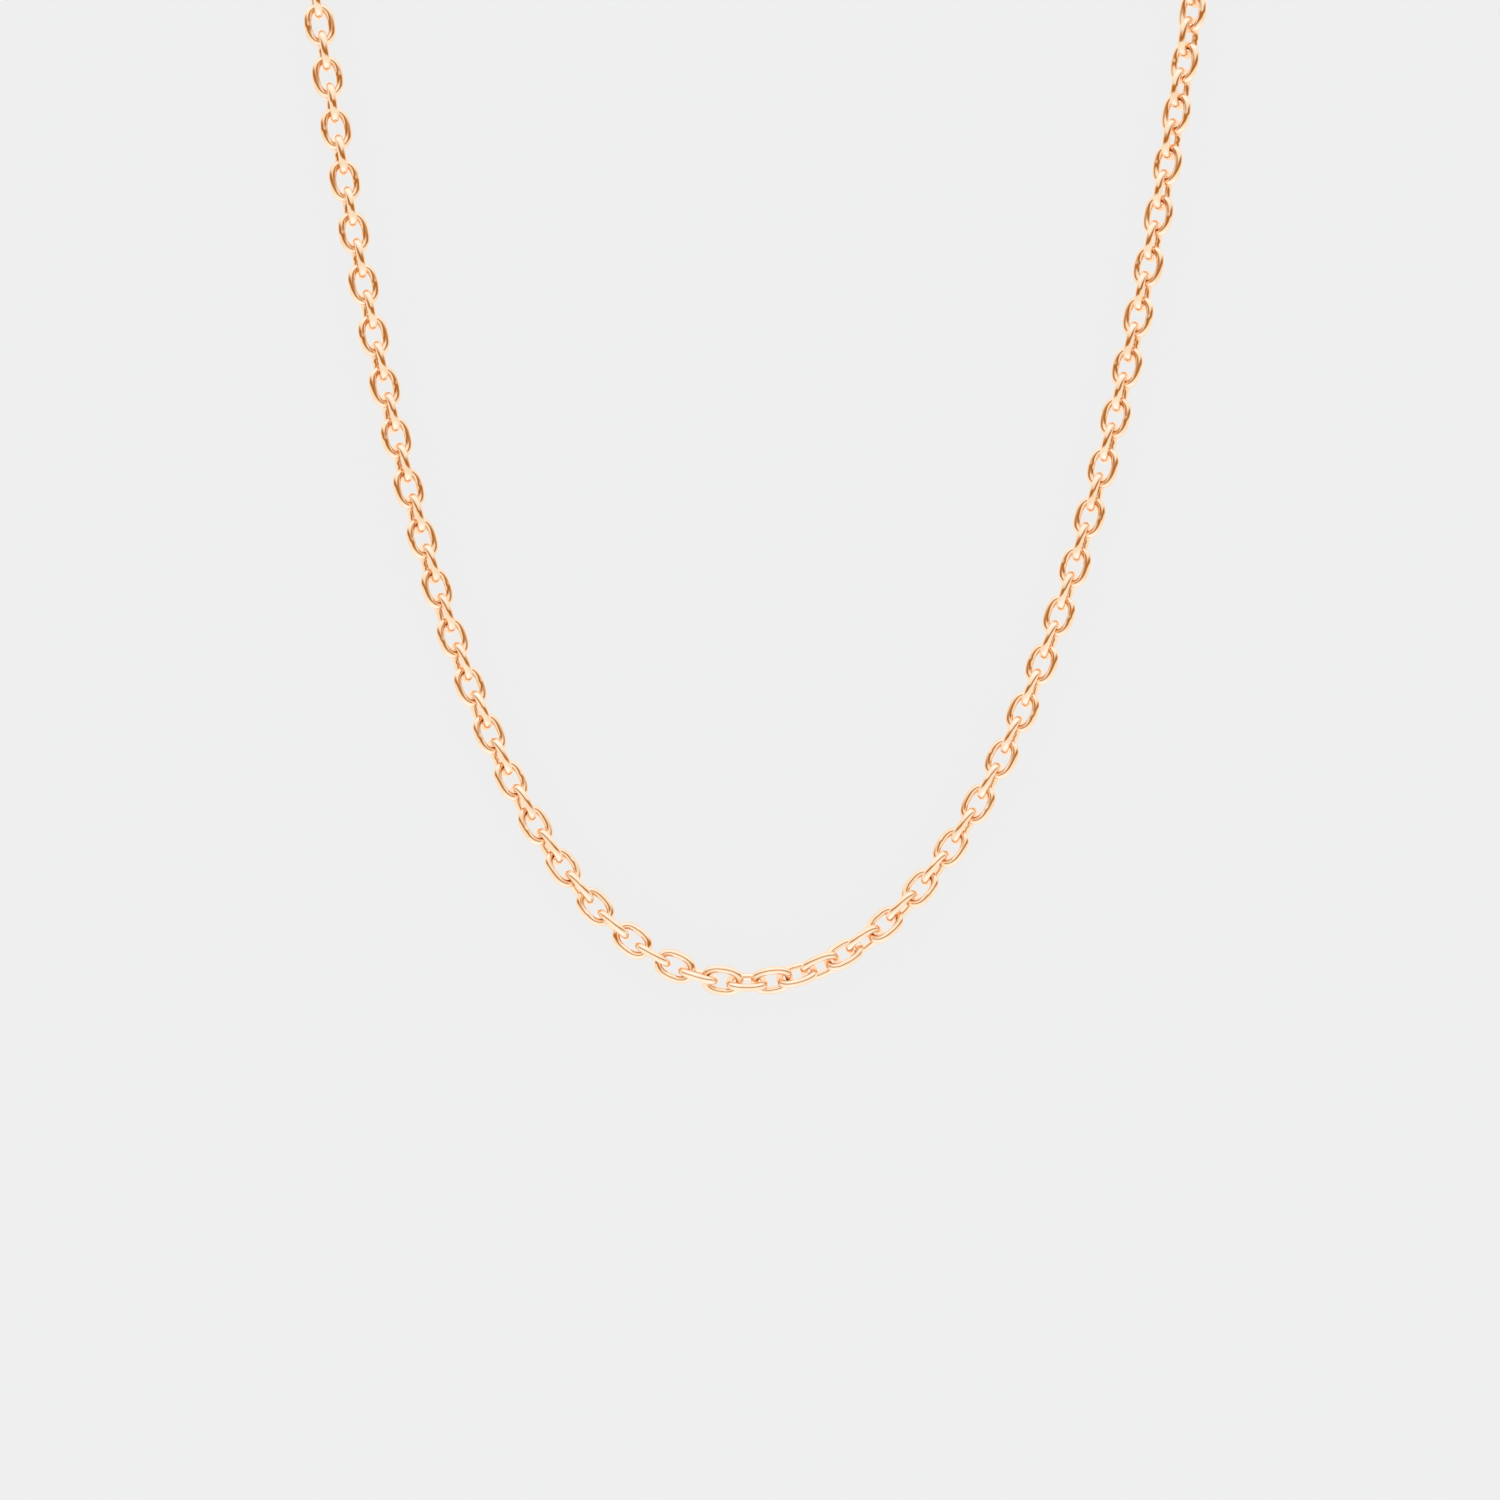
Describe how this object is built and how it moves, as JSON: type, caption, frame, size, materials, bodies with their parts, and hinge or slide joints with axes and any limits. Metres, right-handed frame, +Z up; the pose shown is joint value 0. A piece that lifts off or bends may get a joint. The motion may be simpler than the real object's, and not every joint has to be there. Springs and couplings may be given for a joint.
{
  "type": "chain necklace",
  "caption": "Polished rose gold coloured cable chain necklace with a lobster claw clasp, laid flat in a U with the clasp open.",
  "frame": {"origin": "bottom centre of the whole necklace as it lies, on the surface it lies on", "axes": "+Y from the bend of the U towards its open ends, +Z up out of the surface, +X towards the arm with the end ring"},
  "size_m": [0.1334, 0.2082, 0.0048],
  "materials": {
    "rose_gold_chain": "polished rose gold colour",
    "rose_gold_clasp": "polished rose gold colour",
    "spring_steel": "plain spring steel"
  },
  "bodies": {
    "centre_link": {"centre_link": "rose_gold_chain"},
    "left_link_1": {"left_link_1": "rose_gold_chain"},
    "left_link_2": {"left_link_2": "rose_gold_chain"},
    "left_link_3": {"left_link_3": "rose_gold_chain"},
    "left_link_4": {"left_link_4": "rose_gold_chain"},
    "left_link_5": {"left_link_5": "rose_gold_chain"},
    "left_link_6": {"left_link_6": "rose_gold_chain"},
    "left_pair_1": {"left_pair_1": "rose_gold_chain"},
    "left_pair_2": {"left_pair_2": "rose_gold_chain"},
    "left_pair_3": {"left_pair_3": "rose_gold_chain"},
    "left_pair_4": {"left_pair_4": "rose_gold_chain"},
    "left_pair_5": {"left_pair_5": "rose_gold_chain"},
    "left_pair_6": {"left_pair_6": "rose_gold_chain"},
    "left_pair_7": {"left_pair_7": "rose_gold_chain"},
    "left_pair_8": {"left_pair_8": "rose_gold_chain"},
    "left_pair_9": {"left_pair_9": "rose_gold_chain"},
    "left_pair_10": {"left_pair_10": "rose_gold_chain"},
    "left_pair_11": {"left_pair_11": "rose_gold_chain"},
    "left_run_1": {"left_run_1": "rose_gold_chain"},
    "left_run_2": {"left_run_2": "rose_gold_chain"},
    "left_run_3": {"left_run_3": "rose_gold_chain"},
    "left_run_4": {"left_run_4": "rose_gold_chain"},
    "left_run_5": {"left_run_5": "rose_gold_chain"},
    "left_run_6": {"left_run_6": "rose_gold_chain"},
    "left_run_7": {"left_run_7": "rose_gold_chain"},
    "left_run_8": {"left_run_8": "rose_gold_chain"},
    "left_run_9": {"left_run_9": "rose_gold_chain"},
    "left_tail_1": {"left_tail_1": "rose_gold_chain"},
    "right_link_1": {"right_link_1": "rose_gold_chain"},
    "right_link_2": {"right_link_2": "rose_gold_chain"},
    "right_link_3": {"right_link_3": "rose_gold_chain"},
    "right_link_4": {"right_link_4": "rose_gold_chain"},
    "right_link_5": {"right_link_5": "rose_gold_chain"},
    "right_link_6": {"right_link_6": "rose_gold_chain"},
    "right_pair_1": {"right_pair_1": "rose_gold_chain"},
    "right_pair_2": {"right_pair_2": "rose_gold_chain"},
    "right_pair_3": {"right_pair_3": "rose_gold_chain"},
    "right_pair_4": {"right_pair_4": "rose_gold_chain"},
    "right_pair_5": {"right_pair_5": "rose_gold_chain"},
    "right_pair_6": {"right_pair_6": "rose_gold_chain"},
    "right_pair_7": {"right_pair_7": "rose_gold_chain"},
    "right_pair_8": {"right_pair_8": "rose_gold_chain"},
    "right_pair_9": {"right_pair_9": "rose_gold_chain"},
    "right_pair_10": {"right_pair_10": "rose_gold_chain"},
    "right_run_1": {"right_run_1": "rose_gold_chain"},
    "right_run_2": {"right_run_2": "rose_gold_chain"},
    "right_run_3": {"right_run_3": "rose_gold_chain"},
    "right_run_4": {"right_run_4": "rose_gold_chain"},
    "right_run_5": {"right_run_5": "rose_gold_chain"},
    "right_run_6": {"right_run_6": "rose_gold_chain"},
    "right_run_7": {"right_run_7": "rose_gold_chain"},
    "right_run_8": {"right_run_8": "rose_gold_chain"},
    "right_run_9": {"right_run_9": "rose_gold_chain"},
    "right_run_10": {"right_run_10": "rose_gold_chain"},
    "clasp_jump_ring": {"clasp_jump_ring": "rose_gold_clasp"},
    "clasp": {"clasp_body": "rose_gold_clasp", "clasp_pin": "rose_gold_clasp", "clasp_spring": "spring_steel"},
    "clasp_trigger": {"clasp_trigger": "rose_gold_clasp"},
    "end_ring": {"end_ring": "rose_gold_clasp"}
  },
  "joints": [
    {"name": "left_link_1_hinge", "type": "hinge", "parent": "centre_link", "child": "left_link_1", "pos_m": [-0.00214, -0.10229, 0.00183], "axis": [0, 0, 1], "range_deg": [-25, 25]},
    {"name": "left_link_2_hinge", "type": "hinge", "parent": "left_link_1", "child": "left_link_2", "pos_m": [-0.00414, -0.10198, 0.00193], "axis": [0, 0, -1], "range_deg": [-25, 25]},
    {"name": "left_link_3_hinge", "type": "hinge", "parent": "left_link_2", "child": "left_link_3", "pos_m": [-0.00818, -0.10075, 0.00194], "axis": [0, 0, 1], "range_deg": [-25, 25]},
    {"name": "left_link_4_hinge", "type": "hinge", "parent": "left_link_3", "child": "left_link_4", "pos_m": [-0.00988, -0.09996, 0.00195], "axis": [0, 0, -1], "range_deg": [-25, 25]},
    {"name": "left_link_5_hinge", "type": "hinge", "parent": "left_link_4", "child": "left_link_5", "pos_m": [-0.01356, -0.09772, 0.00195], "axis": [0, 0, 1], "range_deg": [-25, 25]},
    {"name": "left_link_6_hinge", "type": "hinge", "parent": "left_link_5", "child": "left_link_6", "pos_m": [-0.01508, -0.09655, 0.00194], "axis": [0, 0, -1], "range_deg": [-25, 25]},
    {"name": "left_pair_1_hinge", "type": "hinge", "parent": "left_link_6", "child": "left_pair_1", "pos_m": [-0.01822, -0.09369, 0.00194], "axis": [0, 0, 1], "range_deg": [-25, 25]},
    {"name": "left_pair_2_hinge", "type": "hinge", "parent": "left_pair_1", "child": "left_pair_2", "pos_m": [-0.02225, -0.08895, 0.00187], "axis": [0, 0, -1], "range_deg": [-25, 25]},
    {"name": "left_pair_3_hinge", "type": "hinge", "parent": "left_pair_2", "child": "left_pair_3", "pos_m": [-0.02576, -0.08377, 0.00182], "axis": [0, 0, 1], "range_deg": [-25, 25]},
    {"name": "left_pair_4_hinge", "type": "hinge", "parent": "left_pair_3", "child": "left_pair_4", "pos_m": [-0.02884, -0.07826, 0.00182], "axis": [0, 0, -1], "range_deg": [-25, 25]},
    {"name": "left_pair_5_hinge", "type": "hinge", "parent": "left_pair_4", "child": "left_pair_5", "pos_m": [-0.03156, -0.07254, 0.00182], "axis": [0, 0, 1], "range_deg": [-25, 25]},
    {"name": "left_pair_6_hinge", "type": "hinge", "parent": "left_pair_5", "child": "left_pair_6", "pos_m": [-0.03399, -0.06666, 0.00182], "axis": [0, 0, -1], "range_deg": [-25, 25]},
    {"name": "left_pair_7_hinge", "type": "hinge", "parent": "left_pair_6", "child": "left_pair_7", "pos_m": [-0.03619, -0.06067, 0.00182], "axis": [0, 0, 1], "range_deg": [-25, 25]},
    {"name": "left_pair_8_hinge", "type": "hinge", "parent": "left_pair_7", "child": "left_pair_8", "pos_m": [-0.03819, -0.05459, 0.00182], "axis": [0, 0, -1], "range_deg": [-25, 25]},
    {"name": "left_pair_9_hinge", "type": "hinge", "parent": "left_pair_8", "child": "left_pair_9", "pos_m": [-0.04002, -0.04843, 0.00181], "axis": [0, 0, 1], "range_deg": [-25, 25]},
    {"name": "left_pair_10_hinge", "type": "hinge", "parent": "left_pair_9", "child": "left_pair_10", "pos_m": [-0.04172, -0.04219, 0.00183], "axis": [0, 0, -1], "range_deg": [-25, 25]},
    {"name": "left_pair_11_hinge", "type": "hinge", "parent": "left_pair_10", "child": "left_pair_11", "pos_m": [-0.04329, -0.03591, 0.00184], "axis": [0, 0, 1], "range_deg": [-25, 25]},
    {"name": "left_run_1_hinge", "type": "hinge", "parent": "left_pair_11", "child": "left_run_1", "pos_m": [-0.04475, -0.0296, 0.00185], "axis": [0, 0, -1], "range_deg": [-25, 25]},
    {"name": "left_run_2_hinge", "type": "hinge", "parent": "left_run_1", "child": "left_run_2", "pos_m": [-0.04743, -0.01674, 0.00188], "axis": [0, 0, 1], "range_deg": [-25, 25]},
    {"name": "left_run_3_hinge", "type": "hinge", "parent": "left_run_2", "child": "left_run_3", "pos_m": [-0.04979, -0.00392, 0.0019], "axis": [0, 0, -1], "range_deg": [-25, 25]},
    {"name": "left_run_4_hinge", "type": "hinge", "parent": "left_run_3", "child": "left_run_4", "pos_m": [-0.0519, 0.00898, 0.00191], "axis": [0, 0, 1], "range_deg": [-25, 25]},
    {"name": "left_run_5_hinge", "type": "hinge", "parent": "left_run_4", "child": "left_run_5", "pos_m": [-0.05383, 0.02193, 0.00193], "axis": [0, 0, -1], "range_deg": [-25, 25]},
    {"name": "left_run_6_hinge", "type": "hinge", "parent": "left_run_5", "child": "left_run_6", "pos_m": [-0.05559, 0.03492, 0.00194], "axis": [0, 0, 1], "range_deg": [-25, 25]},
    {"name": "left_run_7_hinge", "type": "hinge", "parent": "left_run_6", "child": "left_run_7", "pos_m": [-0.05721, 0.04794, 0.00194], "axis": [0, 0, -1], "range_deg": [-25, 25]},
    {"name": "left_run_8_hinge", "type": "hinge", "parent": "left_run_7", "child": "left_run_8", "pos_m": [-0.05871, 0.06099, 0.00195], "axis": [0, 0, 1], "range_deg": [-25, 25]},
    {"name": "left_run_9_hinge", "type": "hinge", "parent": "left_run_8", "child": "left_run_9", "pos_m": [-0.06011, 0.07406, 0.00195], "axis": [0, 0, -1], "range_deg": [-25, 25]},
    {"name": "left_tail_1_hinge", "type": "hinge", "parent": "left_run_9", "child": "left_tail_1", "pos_m": [-0.06143, 0.08714, 0.00195], "axis": [0, 0, 1], "range_deg": [-25, 25]},
    {"name": "right_link_1_hinge", "type": "hinge", "parent": "centre_link", "child": "right_link_1", "pos_m": [0.0018, -0.1023, 0.0018], "axis": [0, 0, 1], "range_deg": [-25, 25]},
    {"name": "right_link_2_hinge", "type": "hinge", "parent": "right_link_1", "child": "right_link_2", "pos_m": [0.00439, -0.10191, 0.00167], "axis": [0, 0, -1], "range_deg": [-14, 25]},
    {"name": "right_link_3_hinge", "type": "hinge", "parent": "right_link_2", "child": "right_link_3", "pos_m": [0.00771, -0.10094, 0.00159], "axis": [0, 0, 1], "range_deg": [-25, 25]},
    {"name": "right_link_4_hinge", "type": "hinge", "parent": "right_link_3", "child": "right_link_4", "pos_m": [0.01059, -0.09966, 0.00157], "axis": [0, 0, -1], "range_deg": [-25, 25]},
    {"name": "right_link_5_hinge", "type": "hinge", "parent": "right_link_4", "child": "right_link_5", "pos_m": [0.01314, -0.09816, 0.00167], "axis": [0, 0, 1], "range_deg": [-25, 20]},
    {"name": "right_link_6_hinge", "type": "hinge", "parent": "right_link_5", "child": "right_link_6", "pos_m": [0.01603, -0.09603, 0.00171], "axis": [0, 0, -1], "range_deg": [-25, 25]},
    {"name": "right_pair_1_hinge", "type": "hinge", "parent": "right_link_6", "child": "right_pair_1", "pos_m": [0.01789, -0.09438, 0.00181], "axis": [0, 0, 1], "range_deg": [-25, 25]},
    {"name": "right_pair_2_hinge", "type": "hinge", "parent": "right_pair_1", "child": "right_pair_2", "pos_m": [0.02213, -0.08979, 0.00185], "axis": [0, 0, -1], "range_deg": [-25, 25]},
    {"name": "right_pair_3_hinge", "type": "hinge", "parent": "right_pair_2", "child": "right_pair_3", "pos_m": [0.02584, -0.0847, 0.00187], "axis": [0, 0, 1], "range_deg": [-25, 25]},
    {"name": "right_pair_4_hinge", "type": "hinge", "parent": "right_pair_3", "child": "right_pair_4", "pos_m": [0.02909, -0.07928, 0.00189], "axis": [0, 0, -1], "range_deg": [-25, 25]},
    {"name": "right_pair_5_hinge", "type": "hinge", "parent": "right_pair_4", "child": "right_pair_5", "pos_m": [0.03198, -0.07361, 0.00188], "axis": [0, 0, 1], "range_deg": [-25, 25]},
    {"name": "right_pair_6_hinge", "type": "hinge", "parent": "right_pair_5", "child": "right_pair_6", "pos_m": [0.03456, -0.06778, 0.00188], "axis": [0, 0, -1], "range_deg": [-25, 25]},
    {"name": "right_pair_7_hinge", "type": "hinge", "parent": "right_pair_6", "child": "right_pair_7", "pos_m": [0.03688, -0.06184, 0.00188], "axis": [0, 0, 1], "range_deg": [-25, 25]},
    {"name": "right_pair_8_hinge", "type": "hinge", "parent": "right_pair_7", "child": "right_pair_8", "pos_m": [0.03899, -0.05582, 0.00187], "axis": [0, 0, -1], "range_deg": [-25, 25]},
    {"name": "right_pair_9_hinge", "type": "hinge", "parent": "right_pair_8", "child": "right_pair_9", "pos_m": [0.04093, -0.04973, 0.00187], "axis": [0, 0, 1], "range_deg": [-25, 25]},
    {"name": "right_pair_10_hinge", "type": "hinge", "parent": "right_pair_9", "child": "right_pair_10", "pos_m": [0.04271, -0.04358, 0.00187], "axis": [0, 0, -1], "range_deg": [-25, 25]},
    {"name": "right_run_1_hinge", "type": "hinge", "parent": "right_pair_10", "child": "right_run_1", "pos_m": [0.04432, -0.03755, 0.00186], "axis": [0, 0, 1], "range_deg": [-25, 25]},
    {"name": "right_run_2_hinge", "type": "hinge", "parent": "right_run_1", "child": "right_run_2", "pos_m": [0.04732, -0.02503, 0.00183], "axis": [0, 0, -1], "range_deg": [-25, 25]},
    {"name": "right_run_3_hinge", "type": "hinge", "parent": "right_run_2", "child": "right_run_3", "pos_m": [0.04995, -0.01243, 0.0018], "axis": [0, 0, 1], "range_deg": [-25, 25]},
    {"name": "right_run_4_hinge", "type": "hinge", "parent": "right_run_3", "child": "right_run_4", "pos_m": [0.05232, 0.00031, 0.00173], "axis": [0, 0, -1], "range_deg": [-25, 25]},
    {"name": "right_run_5_hinge", "type": "hinge", "parent": "right_run_4", "child": "right_run_5", "pos_m": [0.05446, 0.01312, 0.00165], "axis": [0, 0, 1], "range_deg": [-25, 25]},
    {"name": "right_run_6_hinge", "type": "hinge", "parent": "right_run_5", "child": "right_run_6", "pos_m": [0.05642, 0.02606, 0.00154], "axis": [0, 0, -1], "range_deg": [-25, 25]},
    {"name": "right_run_7_hinge", "type": "hinge", "parent": "right_run_6", "child": "right_run_7", "pos_m": [0.05822, 0.03903, 0.00168], "axis": [0, 0, 1], "range_deg": [-25, 25]},
    {"name": "right_run_8_hinge", "type": "hinge", "parent": "right_run_7", "child": "right_run_8", "pos_m": [0.05988, 0.052, 0.00179], "axis": [0, 0, -1], "range_deg": [-25, 25]},
    {"name": "right_run_9_hinge", "type": "hinge", "parent": "right_run_8", "child": "right_run_9", "pos_m": [0.06141, 0.06493, 0.00188], "axis": [0, 0, 1], "range_deg": [-25, 25]},
    {"name": "right_run_10_hinge", "type": "hinge", "parent": "right_run_9", "child": "right_run_10", "pos_m": [0.06284, 0.0778, 0.00193], "axis": [0, 0, -1], "range_deg": [-25, 25]},
    {"name": "clasp_jump_ring_hinge", "type": "hinge", "parent": "left_tail_1", "child": "clasp_jump_ring", "pos_m": [-0.06163, 0.08924, 0.00195], "axis": [0, 0, 1], "range_deg": [-60, 60]},
    {"name": "clasp_hinge", "type": "hinge", "parent": "clasp_jump_ring", "child": "clasp", "pos_m": [-0.06199, 0.093, 0.0016], "axis": [0, 0, -1], "range_deg": [-60, 60]},
    {"name": "clasp_trigger_hinge", "type": "hinge", "parent": "clasp", "child": "clasp_trigger", "pos_m": [-0.06342, 0.09735, 0.0016], "axis": [0, 0, -1], "range_deg": [0, 28], "stiffness_Nm_per_rad": 0.003, "springref_deg": -20.05, "deforming": ["clasp_spring"]},
    {"name": "end_ring_hinge", "type": "hinge", "parent": "right_run_10", "child": "end_ring", "pos_m": [0.06417, 0.09061, 0.0016], "axis": [0, 0, 1], "range_deg": [-60, 60]}
  ]
}
